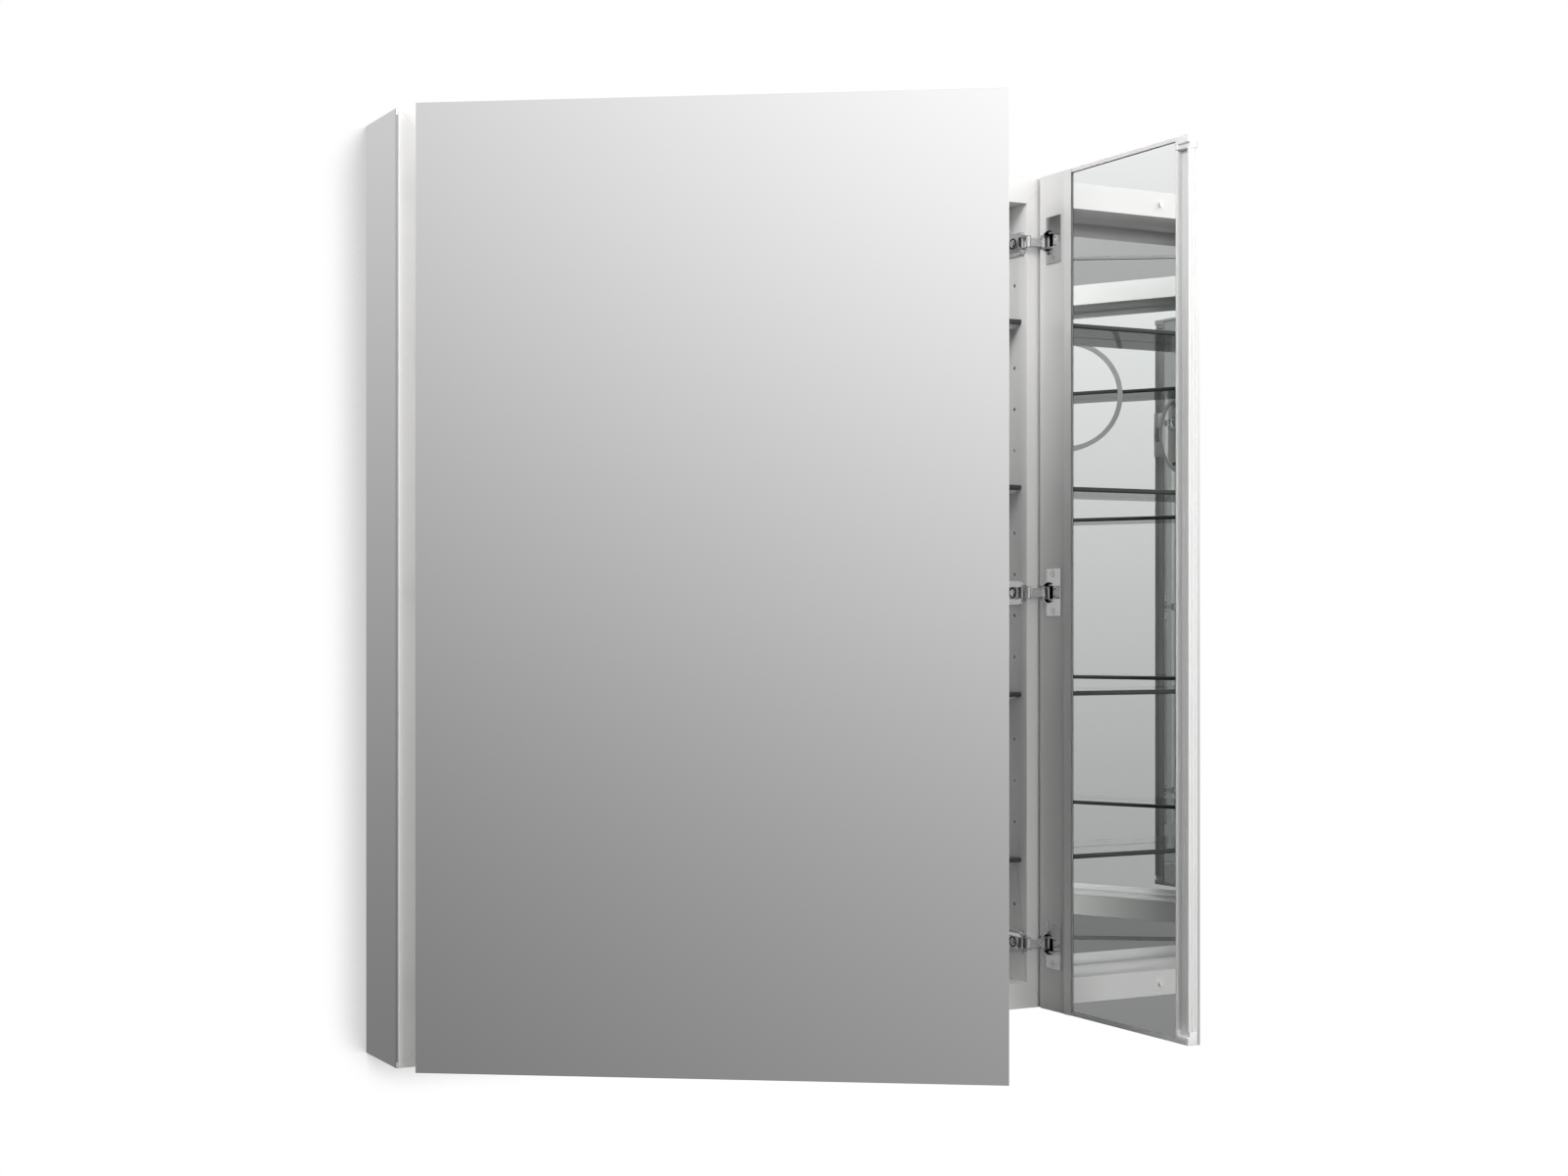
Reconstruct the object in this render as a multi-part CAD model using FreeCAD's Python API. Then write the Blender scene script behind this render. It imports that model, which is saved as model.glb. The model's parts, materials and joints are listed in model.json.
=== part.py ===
import FreeCAD, Part
import math
import os
from FreeCAD import Vector

# Two-door medicine cabinet with mirrored doors, hung on a wall.
# Millimetres. +Z is up, the doors face -Y, and the origin is on the wall, at the centre of the back.
# Side geometry is drawn for the left side, in s (inwards from the outer side face) and
# n (forwards from the front of the case). The right side is its mirror image.
# A door is drawn closed, in e (from its hinge edge), d (from its inner face towards its front)
# and z, and is then swung open about the pivots of its hinges.

# ---- driving dimensions: case ----
case_width = 864.0
case_height = 1016.0
case_depth = 86.0
frame_face = 32.0
frame_wall = 1.8
side_glass = 4.0
back_recess = 7.8
back_sheet = 1.2
back_glass = 3.0

# ---- driving dimensions: doors ----
left_door_width = 609.0
door_gap = 3.0
door_side_inset = 1.0
door_standoff = 2.0
door_thickness = 17.0
front_glass = 4.0
hinge_stile_flat = 41.0
rib_width = 11.0
rib_proud = 1.8
tray_gap = 2.5
inner_glass = 4.0
inner_glass_recess = 1.5
rail_height = 4.8
free_stile_width = 20.3
pull_wall = 2.0
pull_depth = 8.0
stile_wall = 1.6
cap_height = 15.0

# ---- driving dimensions: hinges ----
hinge_end_distance = 80.0
arm_pivot_inset = 2.0
arm_pivot_n = 5.5
cup_pivot_edge = 12.0
cup_pivot_step = 2.35
hub_edge = 5.85
hub_radius = 2.5
hub_floor_gap = 0.35
first_stage_turn = 29.7
link_swing = 63.3
left_door_turn = 0.0
right_door_turn = 90.0
pin_radius = 1.5
cup_floor_gap = 1.0
cup_wall = 0.8
cup_screw_pitch = 45.0

# ---- driving dimensions: shelves ----
shelf_thickness = 6.0
shelf_setback = 9.0
end_shelf_hole = 1.5
inner_shelf_hole = 2.5
hole_pitch = 50.8
hole_end_distance = 80.0
hole_radius = 2.1
hole_drop = 2.5
front_hole_setback = 23.0
rear_hole_from_glass = 13.0

# ---- driving dimensions: magnifying mirror ----
magnifier_radius = 82.0
magnifier_band = 7.0
magnifier_depth = 5.0
magnifier_height = 300.0
magnifier_standoff = 7.0
magnifier_pin_length = 78.0
magnifier_block_height = 25.0

# ---- driving dimensions: wall fixing ----
rail_sheet = 1.5
rail_end_distance = 80.0
rail_top_distance = 93.0
wall_hole_spacing = 406.4
wall_hole_radius = 2.75
wall_hole_drop = 50.0

# ---- named clearances ----
running_clearance = 0.08
fit_clearance = 0.2
body_clearance = 0.3
shelf_end_clearance = 1.0

# ---- values worked out from those above ----
half_width = case_width / 2
half_height = case_height / 2
right_door_width = case_width - 2 * door_side_inset - left_door_width - door_gap
case_front = -case_depth
door_back = case_front - door_standoff
cavity_half_width = half_width - frame_face
cavity_half_height = half_height - frame_face
back_glass_front = -(back_recess + back_sheet + back_glass)
inner_depth = door_thickness - front_glass
mirror_back_depth = inner_glass_recess + inner_glass
tray_start = hinge_stile_flat + rib_width
arm_pivot_s = frame_face + arm_pivot_inset
cup_depth = inner_depth - cup_floor_gap
cup_floor = cup_depth - cup_wall
hub_depth = cup_floor - hub_floor_gap - hub_radius
cup_pivot_depth = hub_depth - cup_pivot_step
yoke_turn = first_stage_turn + link_swing
hinge_height = half_height - hinge_end_distance
hinge_levels = (-hinge_height, 0.0, hinge_height)
hole_pairs = int((cavity_half_height - hole_end_distance) / hole_pitch + 0.5)
end_shelf = (hole_pairs - end_shelf_hole) * hole_pitch
inner_shelf = inner_shelf_hole * hole_pitch
shelf_levels = (-end_shelf, -inner_shelf, inner_shelf, end_shelf)


os.makedirs("parts", exist_ok=True)


# ---- small helpers ----
def block(x, y, z):
    """A box between pairs of limits, given in either order."""
    low = [min(pair) for pair in (x, y, z)]
    size = [abs(pair[1] - pair[0]) for pair in (x, y, z)]
    return Part.makeBox(*size, Vector(*low))


def rod(radius, start, end):
    """A round bar between two points."""
    start, end = Vector(*start), Vector(*end)
    return Part.makeCylinder(radius, (end - start).Length, start, end - start)


def slab(points, z_low, z_high):
    """A prism that stands on an outline of (x, y) points."""
    corners = [Vector(x, y, z_low) for x, y in points]
    face = Part.Face(Part.makePolygon(corners + corners[:1]))
    return face.extrude(Vector(0, 0, z_high - z_low))


def panel(points, y_back, y_front):
    """A prism through the depth, on an outline of (x, z) points."""
    corners = [Vector(x, y_back, z) for x, z in points]
    face = Part.Face(Part.makePolygon(corners + corners[:1]))
    return face.extrude(Vector(0, y_front - y_back, 0))


def join(shapes):
    """One clean solid from several that meet."""
    first, rest = shapes[0], shapes[1:]
    return first.fuse(rest).removeSplitter() if rest else first


def between(a, b, share):
    """The point a share of the way from a to b."""
    return tuple(p + (q - p) * share for p, q in zip(a, b))


def mirrored(shape):
    """The same piece on the right-hand side."""
    return shape.mirror(Vector(0, 0, 0), Vector(1, 0, 0))


def on_side(side, shape):
    """A piece drawn for the left side, put on the side asked for."""
    return shape if side == "left" else mirrored(shape)


def save(node, solids):
    """Write one node as a STEP file, a single solid or a group of separate ones."""
    shape = solids[0] if len(solids) == 1 else Part.makeCompound(solids)
    for solid in solids:
        if not solid.isValid() or len(solid.Solids) != 1:
            raise ValueError("node " + node + " has a broken solid")
    shape.exportStep("parts/" + node + ".step")


# ---- where things are ----
def case_point(s, n):
    """World x, y of a place on the left side of the case."""
    return (-half_width + s, case_front - n)


def door_x(e):
    """World x of a distance from the hinge edge of the closed left door."""
    return -half_width + door_side_inset + e


def door_y(d):
    """World y of a depth from the inner face of the closed door."""
    return door_back - d


def door_box(e, d, z):
    """A box in the closed left door."""
    return block((door_x(e[0]), door_x(e[1])), (door_y(d[0]), door_y(d[1])), z)


arm_pivot = case_point(arm_pivot_s, arm_pivot_n)
cup_pivot = (door_x(cup_pivot_edge), door_y(cup_pivot_depth))
hub_pivot = (door_x(hub_edge), door_y(hub_depth))


def turned(shape, pivot, degrees):
    """A copy turned about an upright axis. Positive opens a left-hand door."""
    copy = shape.copy()
    copy.rotate(Vector(pivot[0], pivot[1], 0), Vector(0, 0, 1), -degrees)
    return copy


def opened(shape, moves):
    """A copy carried through a list of (pivot, degrees), the innermost pivot first."""
    for pivot, degrees in moves:
        shape = turned(shape, pivot, degrees)
    return shape


# The left door stands at the end of its hinges' first stage. The right door is square open.
link_moves = {"left": [(arm_pivot, -link_swing)], "right": []}
yoke_moves = {"left": [(cup_pivot, yoke_turn)] + link_moves["left"], "right": []}
door_moves = {
    "left": [(hub_pivot, left_door_turn)] + yoke_moves["left"],
    "right": [(hub_pivot, right_door_turn)] + yoke_moves["right"],
}


def place(side, shape, moves):
    """A piece drawn closed on the left, moved to its rest place on its own side."""
    return on_side(side, opened(shape, moves[side]))


# ---- case ----
def frame_bar(corner_a, corner_b):
    """A hollow bar of the mitred frame. Each corner is its (outer, inner) points in x, z."""
    outer_a, inner_a = corner_a
    outer_b, inner_b = corner_b
    tube = panel([outer_a, outer_b, inner_b, inner_a], 0, case_front)
    face = min(abs(outer_a[0] - inner_a[0]), abs(outer_a[1] - inner_a[1]))
    share = frame_wall / face
    hollow = [
        between(outer_a, inner_a, share),
        between(outer_b, inner_b, share),
        between(outer_b, inner_b, 1 - share),
        between(outer_a, inner_a, 1 - share),
    ]
    return tube.cut(panel(hollow, -frame_wall, case_front + frame_wall))


def frame_corner(side, end):
    """The outer and inner corner points of the frame; side and end are -1 or 1."""
    outer = (side * (half_width - side_glass), end * half_height)
    inner = (side * cavity_half_width, end * cavity_half_height)
    return outer, inner


def shelf_hole_levels():
    """Heights of the shelf-pin holes, from the lowest."""
    lowest = -(hole_pairs - 0.5) * hole_pitch
    return [lowest + row * hole_pitch - hole_drop for row in range(2 * hole_pairs)]


front_hole_y = case_front + front_hole_setback
rear_hole_y = back_glass_front - rear_hole_from_glass


def drill_side(bar, side):
    """Shelf-pin holes through the inner wall of a side bar."""
    wall_x = side * cavity_half_width
    reach = 2 * frame_wall
    drills = []
    for y in (front_hole_y, rear_hole_y):
        for z in shelf_hole_levels():
            drills.append(rod(hole_radius, (wall_x - reach, y, z), (wall_x + reach, y, z)))
    for z in hinge_levels:
        for n in plate_screw_places:
            y = case_front - n
            drills.append(rod(screw_hole_radius, (wall_x - reach, y, z), (wall_x + reach, y, z)))
    return bar.cut(drills)


plate_screw_places = (-43.0, -21.0)
screw_hole_radius = 1.5 + fit_clearance

bottom_left = frame_corner(-1, -1)
bottom_right = frame_corner(1, -1)
top_left = frame_corner(-1, 1)
top_right = frame_corner(1, 1)
save("case_left_side", [drill_side(frame_bar(bottom_left, top_left), -1)])
save("case_right_side", [drill_side(frame_bar(bottom_right, top_right), 1)])
save("case_top", [frame_bar(top_left, top_right)])
save("case_bottom", [frame_bar(bottom_left, bottom_right)])

# Corner keys: angle pieces inside the hollow bars, pressed in before the mitres close.
key_leg = 70.0
key_depth = 30.0


def corner_key(side, end):
    """An angle piece that fills the hollow of two bars at one corner."""
    inset = frame_wall + fit_clearance
    x_out = half_width - side_glass - inset
    x_in = cavity_half_width + inset
    z_out = half_height - 1.3 * inset
    z_in = cavity_half_height + 1.3 * inset
    outline = [
        (x_out, z_out),
        (x_out, z_out - key_leg),
        (x_in, z_out - key_leg),
        (x_in, z_in),
        (x_out - key_leg, z_in),
        (x_out - key_leg, z_out),
    ]
    middle = case_front / 2
    placed = [(side * x, end * z) for x, z in outline]
    return panel(placed, middle + key_depth / 2, middle - key_depth / 2)


save("corner_keys", [corner_key(side, end) for side in (-1, 1) for end in (-1, 1)])

full_height = (-half_height, half_height)
for side, sign in (("left", -1), ("right", 1)):
    face = (sign * half_width, sign * (half_width - side_glass))
    save(side + "_side_mirror", [block(face, (0, case_front), full_height)])

back_half_width = cavity_half_width - fit_clearance
back_half_height = cavity_half_height - fit_clearance
back_x = (-back_half_width, back_half_width)
back_z = (-back_half_height, back_half_height)
sheet_front = -(back_recess + back_sheet)
save("back_panel", [block(back_x, (-back_recess, sheet_front), back_z)])
save("back_mirror", [block(back_x, (sheet_front, back_glass_front), back_z)])

# A shallow channel across the middle of the back keeps the panel off the wall.
stiffener_height = 60.0
stiffener_length = 2 * (cavity_half_width - 50.0)
stiffener_x = (-stiffener_length / 2, stiffener_length / 2)
stiffener_half = stiffener_height / 2
leg_top = (stiffener_half - rail_sheet, stiffener_half)
leg_low = (-stiffener_half, rail_sheet - stiffener_half)
stiffener = join([
    block(stiffener_x, (0, -rail_sheet), (-stiffener_half, stiffener_half)),
    block(stiffener_x, (0, -back_recess), leg_top),
    block(stiffener_x, (0, -back_recess), leg_low),
])
save("back_stiffener", [stiffener])

# The hanging rail is fixed to the back panel and hooks down over the lip of the wall rail.
rail_x = (rail_end_distance - cavity_half_width, cavity_half_width - rail_end_distance)
hook_gap = 0.5
hook_lip = 20.0
base_height = 30.0
hook_back = -(rail_sheet + hook_gap)
hook_front = hook_back - rail_sheet
seat = half_height - rail_top_distance
hanging_rail = join([
    block(rail_x, (-back_recess, -back_recess + rail_sheet), (seat, seat + base_height)),
    block(rail_x, (-back_recess, hook_back), (seat, seat + rail_sheet)),
    block(rail_x, (hook_back, hook_front), (seat - hook_lip, seat + rail_sheet)),
])
save("hanging_rail", [hanging_rail])

lip_back = hook_front - hook_gap
lip_front = lip_back - rail_sheet
web_low = seat - hook_lip - 6.0
wall_hole_height = seat - wall_hole_drop
plate_low = wall_hole_height - 15.0
wall_rail = join([
    block(rail_x, (0, -rail_sheet), (plate_low, web_low)),
    block(rail_x, (0, lip_front), (web_low - rail_sheet, web_low)),
    block(rail_x, (lip_back, lip_front), (web_low - rail_sheet, seat)),
])
wall_holes = []
for x in (-wall_hole_spacing / 2, wall_hole_spacing / 2):
    start = (x, 1.0, wall_hole_height)
    end = (x, -2 * rail_sheet, wall_hole_height)
    wall_holes.append(rod(wall_hole_radius, start, end))
save("wall_rail", [wall_rail.cut(wall_holes)])

# ---- shelves and their supports ----
shelf_half_width = cavity_half_width - shelf_end_clearance
shelf_back = back_glass_front - shelf_end_clearance
shelf_front = case_front + shelf_setback
shelf_edge_radius = 0.4 * shelf_thickness
support_radius = hole_radius - running_clearance
shelf_lift = support_radius - hole_drop


def shelf(level):
    """A glass shelf with its front edges rounded over."""
    low = level + shelf_lift
    x = (-shelf_half_width, shelf_half_width)
    plate = block(x, (shelf_back, shelf_front), (low, low + shelf_thickness))
    edges = []
    for edge in plate.Edges:
        box = edge.BoundBox
        if box.YLength < 0.001 and abs(box.YMin - shelf_front) < 0.001 and box.XLength > 1:
            edges.append(edge)
    return plate.makeFillet(shelf_edge_radius, edges)


for number, level in enumerate(shelf_levels, 1):
    save("shelf_" + str(number), [shelf(level)])

pad_length = 11.0
pad_half_width = 5.0
pad_thickness = 2.0


def shelf_support(side, y, level):
    """A pin in the side wall with a flat pad that carries the shelf."""
    z = level - hole_drop
    wall_x = -cavity_half_width
    pin = rod(support_radius, (wall_x - 6.0, y, z), (wall_x + pad_length, y, z))
    top = z + support_radius
    pad = block(
        (wall_x + body_clearance, wall_x + pad_length),
        (y - pad_half_width, y + pad_half_width),
        (top - pad_thickness, top),
    )
    return on_side(side, join([pin, pad]))


save("shelf_supports", [
    shelf_support(side, y, level)
    for side in ("left", "right")
    for level in shelf_levels
    for y in (front_hole_y, rear_hole_y)
])

# ---- hinge pieces on the case ----
plate_thickness = 1.5
plate_half_height = 14.5
plate_n = (-50.0, -12.0)
plate_face = frame_face + plate_thickness
arm_top = frame_face + 10.0
arm_sheet = 1.2
arm_half_height = 7.5
arm_n = (-47.0, -4.0)
ear_radius = 3.0
screw_radius = 1.5
fixing_n = -32.0
adjuster_n = -14.0


def case_box(s, n, z):
    """A box on the left side of the case."""
    near, far = case_point(s[0], n[0]), case_point(s[1], n[1])
    return block((near[0], far[0]), (near[1], far[1]), z)


def upright(place, radius, z_low, z_high):
    """An upright round bar at a world x, y."""
    return rod(radius, (place[0], place[1], z_low), (place[0], place[1], z_high))


def across(n, radius, z, s_low, s_high):
    """A round bar that runs inwards from the side wall."""
    near, far = case_point(s_low, n), case_point(s_high, n)
    return rod(radius, (near[0], near[1], z), (far[0], far[1], z))


def hinge_plate(z):
    """The plate that is screwed to the side wall and carries the arm."""
    base = case_box((frame_face, plate_face), plate_n, (z - plate_half_height, z + plate_half_height))
    boss = across(fixing_n, 4.0, z, plate_face - 0.5, plate_face + 3.0)
    plate = join([base, boss])
    holes = [across(n, screw_hole_radius, z, frame_face - 1, plate_face + 1) for n in plate_screw_places]
    holes.append(across(fixing_n, screw_hole_radius, z, frame_face - 1, plate_face + 4))
    return plate.cut(holes)


def plate_screw(n, z):
    """A flat-headed screw through the plate into the side wall."""
    shank = across(n, screw_radius, z, frame_face - 7.0, plate_face + 0.5)
    head = across(n, 3.2, z, plate_face, plate_face + 1.6)
    slot = across(n, 1.1, z, plate_face + 0.8, plate_face + 2.0)
    return join([shank, head]).cut(slot)


def hinge_arm(z):
    """A bent-up channel over the plate, with two ears round the arm pivot at its tip."""
    half = arm_half_height
    web = case_box((arm_top - arm_sheet, arm_top), arm_n, (z - half, z + half))
    pieces = [web]
    profile = [
        case_point(plate_face, arm_n[0]),
        case_point(arm_top, arm_n[0]),
        case_point(arm_top, arm_n[1]),
        case_point(arm_pivot_s + ear_radius, arm_pivot_n - 3.5),
        case_point(arm_pivot_s + ear_radius, arm_pivot_n),
        case_point(arm_pivot_s, arm_pivot_n),
        case_point(plate_face, arm_pivot_n - 3.0),
    ]
    for low in (z - half, z + half - arm_sheet):
        cheek = slab(profile, low, low + arm_sheet)
        ear = upright(arm_pivot, ear_radius, low, low + arm_sheet)
        pieces.append(join([cheek, ear]))
    arm = join(pieces)
    window = case_box((arm_top - 3, arm_top + 1), (-27.0, -19.0), (z - 3.0, z + 3.0))
    bore = upright(arm_pivot, pin_radius + 0.05, z - 10, z + 10)
    holes = [across(n, screw_hole_radius, z, arm_top - 3, arm_top + 1) for n in (fixing_n, adjuster_n)]
    return arm.cut([window, bore] + holes)


def arm_screw(n, z, reach):
    """A cross-headed screw in the arm's web; reach is how far it goes towards the wall."""
    shank = across(n, screw_radius, z, arm_top - reach, arm_top + 0.5)
    head = across(n, 3.5, z, arm_top, arm_top + 1.8)
    arms = []
    for long_n, long_z in ((2.2, 0.5), (0.5, 2.2)):
        arms.append(case_box(
            (arm_top + 0.8, arm_top + 2.5),
            (n - long_n, n + long_n),
            (z - long_z, z + long_z),
        ))
    return join([shank, head]).cut(arms)


link_half_height = arm_half_height - arm_sheet - body_clearance
link_bar_half = 5.0
cup_barrel_radius = 2.6
yoke_inner = link_bar_half + body_clearance
yoke_outer = 7.4
nose_ear_inner = yoke_outer + body_clearance
nose_half_height = 11.0
bore_radius = pin_radius + running_clearance


def stick(a, b, thickness, z_low, z_high):
    """A straight flat bar between two upright axes."""
    length = math.hypot(b[0] - a[0], b[1] - a[1])
    along = ((b[0] - a[0]) / length, (b[1] - a[1]) / length)
    side = (-along[1] * thickness / 2, along[0] * thickness / 2)
    outline = [
        (a[0] + side[0], a[1] + side[1]),
        (b[0] + side[0], b[1] + side[1]),
        (b[0] - side[0], b[1] - side[1]),
        (a[0] - side[0], a[1] - side[1]),
    ]
    return slab(outline, z_low, z_high)


def hinge_link(z):
    """The link from the arm pivot to the cup pivot."""
    link = join([
        upright(arm_pivot, ear_radius - 0.2, z - link_half_height, z + link_half_height),
        upright(cup_pivot, cup_barrel_radius, z - link_bar_half, z + link_bar_half),
        stick(arm_pivot, cup_pivot, 2.4, z - link_bar_half, z + link_bar_half),
    ])
    arm_bore = upright(arm_pivot, bore_radius, z - 12, z + 12)
    cup_bore = upright(cup_pivot, pin_radius + 0.05, z - 12, z + 12)
    return link.cut([arm_bore, cup_bore])


def hinge_yoke(z):
    """The short yoke from the cup pivot to the hub pivot in the nose of the cup."""
    pieces = [upright(hub_pivot, hub_radius, z - yoke_outer, z + yoke_outer)]
    for low, high in ((z - yoke_outer, z - yoke_inner), (z + yoke_inner, z + yoke_outer)):
        ear = upright(cup_pivot, cup_barrel_radius, low, high)
        bar = stick(cup_pivot, hub_pivot, 2 * cup_barrel_radius - 0.4, low, high)
        pieces += [ear, bar]
    yoke = join(pieces)
    bores = [upright(pivot, bore_radius, z - 12, z + 12) for pivot in (cup_pivot, hub_pivot)]
    return yoke.cut(bores)


# ---- hinge cup, in the door ----
cup_e = (9.0, hinge_stile_flat - 0.5)
cup_half_height = 14.0
nose_e = 1.4
wing_e = (cup_e[0] + 3.4, cup_e[1] - 4.5)
wing_half_height = 31.0
wing_thickness = 1.3
cup_screw_edge = (wing_e[0] + wing_e[1]) / 2
cup_head_radius = 3.4
cup_head_height = 1.1
cup_head_seat = -0.5
notch_depth = 6.5
notch_half_height = 8.5


def cup_outline(margin, depth, z):
    """The outer body of the cup and its nose, grown by a margin."""
    body = door_box(
        (cup_e[0] - margin, cup_e[1] + margin),
        (0, depth),
        (z - cup_half_height - margin, z + cup_half_height + margin),
    )
    nose = door_box(
        (nose_e - margin, cup_e[0] + 1),
        (0, depth),
        (z - nose_half_height - margin, z + nose_half_height + margin),
    )
    return join([body, nose])


def hinge_cup(z):
    """A pressed cup with a nose for the hub and two screw wings on the door's inner face."""
    outer = cup_outline(0, cup_depth, z)
    wings = door_box(wing_e, (-wing_thickness, 0), (z - wing_half_height, z + wing_half_height))
    rim = door_box(
        (cup_e[0], cup_e[1]),
        (-0.6, 0),
        (z - cup_half_height, z + cup_half_height),
    )
    cup = join([outer, wings, rim])
    hollow_body = door_box(
        (cup_e[0] + cup_wall, cup_e[1] - cup_wall),
        (-3, cup_floor),
        (z - cup_half_height + cup_wall, z + cup_half_height - cup_wall),
    )
    ear_top = hub_depth - hub_radius - 1.0
    hollow_nose = door_box(
        (nose_e + cup_wall, cup_e[0] + cup_wall + 1),
        (-3, cup_floor),
        (z - nose_ear_inner, z + nose_ear_inner),
    )
    above_ears = door_box(
        (nose_e + cup_wall, cup_e[0] + cup_wall + 1),
        (-3, ear_top),
        (z - nose_half_height + cup_wall, z + nose_half_height - cup_wall),
    )
    notch = door_box(
        (nose_e - 1, nose_e + 2),
        (-3, notch_depth),
        (z - notch_half_height, z + notch_half_height),
    )
    cup = cup.cut([hollow_body, hollow_nose, above_ears, notch])
    pin_hole = upright(hub_pivot, pin_radius + 0.05, z - nose_half_height - 1, z + nose_half_height + 1)
    holes = [pin_hole]
    for screw_z in (z - cup_screw_pitch / 2, z + cup_screw_pitch / 2):
        x = door_x(cup_screw_edge)
        start = (x, door_y(-3), screw_z)
        end = (x, door_y(3), screw_z)
        seat = (x, door_y(cup_head_seat), screw_z)
        holes.append(rod(screw_hole_radius, start, end))
        holes.append(rod(cup_head_radius + fit_clearance, start, seat))
    return cup.cut(holes)


def cup_screw(z):
    """A low-headed screw, let into a wing, that goes into the stile."""
    x = door_x(cup_screw_edge)
    tip = door_y(inner_depth - 4.0)
    head_top = cup_head_seat - cup_head_height
    shank = rod(screw_radius, (x, door_y(cup_head_seat - 0.5), z), (x, tip, z))
    head = rod(cup_head_radius, (x, door_y(head_top), z), (x, door_y(cup_head_seat), z))
    slots = []
    for long_x, long_z in ((2.1, 0.45), (0.45, 2.1)):
        slots.append(block(
            (x - long_x, x + long_x),
            (door_y(head_top - 1), door_y(head_top + 0.7)),
            (z - long_z, z + long_z),
        ))
    return join([shank, head]).cut(slots)


# ---- door ----
def front_mirror(width):
    """The full-size mirror on the front, with its front arrises eased."""
    glass = door_box((0, width), (inner_depth, door_thickness), full_height)
    front = door_y(door_thickness)
    edges = []
    for edge in glass.Edges:
        box = edge.BoundBox
        if box.YLength < 0.001 and abs(box.YMin - front) < 0.001:
            edges.append(edge)
    return glass.makeChamfer(0.5, edges)


def hinge_stile():
    """The wide hollow stile on the hinge side, with the raised rib beside the mirror tray."""
    flat = door_box((0, hinge_stile_flat + 1), (0, inner_depth), full_height)
    rib = door_box((hinge_stile_flat, tray_start), (-rib_proud, inner_depth), full_height)
    stile = join([flat, rib])
    end = half_height - 2 * stile_wall
    hollow = door_box(
        (stile_wall, hinge_stile_flat - stile_wall),
        (stile_wall, inner_depth - stile_wall),
        (-end, end),
    )
    rib_hollow = door_box(
        (hinge_stile_flat + stile_wall, tray_start - stile_wall),
        (stile_wall - rib_proud, inner_depth - stile_wall),
        (-end, end),
    )
    cuts = [hollow, rib_hollow]
    for z in hinge_levels:
        cuts.append(cup_outline(fit_clearance, cup_depth + fit_clearance, z))
        cuts.append(door_box(
            (-1, nose_e + 1),
            (-1, notch_depth),
            (z - notch_half_height, z + notch_half_height),
        ))
        for screw_z in (z - cup_screw_pitch / 2, z + cup_screw_pitch / 2):
            x = door_x(cup_screw_edge)
            cuts.append(rod(screw_hole_radius, (x, door_y(-1), screw_z), (x, door_y(4), screw_z)))
    return stile.cut(cuts)


def free_stile(width):
    """The stile on the opening side: an open finger channel with two grooves in its edge."""
    start = width - free_stile_width
    length = half_height - cap_height
    profile = door_box((start, width), (0, inner_depth), (-length, length))
    channel = door_box((start + pull_wall, width - pull_wall), (-1, pull_depth), (-length - 1, length + 1))
    cuts = [channel]
    for d in (4.0, 8.5):
        cuts.append(door_box((width - 0.7, width + 1), (d, d + 1.2), (-length - 1, length + 1)))
    return profile.cut(cuts)


def corner_cap(width, end):
    """A moulded cap that closes one end of the finger channel."""
    start = width - free_stile_width
    low = end * (half_height - cap_height + 0.1)
    cap = door_box((start, width), (-0.6, inner_depth), (low, end * half_height))
    thumb = door_box((start + 4, width + 1), (-2, 2.0), (low - end, low + end * 6.0))
    return cap.cut(thumb)


def rail(width, end):
    """The thin rail that closes the mirror tray at its top or its bottom."""
    z = (end * (half_height - rail_height), end * half_height)
    return door_box((tray_start, width - free_stile_width), (0, inner_depth), z)


def backing_board(width):
    """The board between the front mirror and the inner mirror."""
    reach = half_height - rail_height
    e = (tray_start, width - free_stile_width)
    return door_box(e, (mirror_back_depth, inner_depth), (-reach, reach))


def inner_mirror(width):
    """The mirror in the tray on the inside of the door."""
    reach = half_height - rail_height - fit_clearance
    e = (tray_start + tray_gap, width - free_stile_width - fit_clearance)
    return door_box(e, (inner_glass_recess, mirror_back_depth), (-reach, reach))


case_pieces = {
    "hinge_plates": [hinge_plate(z) for z in hinge_levels],
    "plate_screws": [plate_screw(n, z) for z in hinge_levels for n in plate_screw_places],
    "hinge_arms": [hinge_arm(z) for z in hinge_levels],
    "arm_screws": [
        arm_screw(n, z, reach)
        for z in hinge_levels
        for n, reach in ((fixing_n, 8.0), (adjuster_n, 7.0))
    ],
    "arm_pins": [
        upright(arm_pivot, pin_radius, z - arm_half_height, z + arm_half_height)
        for z in hinge_levels
    ],
}
for piece, solids in case_pieces.items():
    save(piece, solids + [mirrored(solid) for solid in solids])

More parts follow.
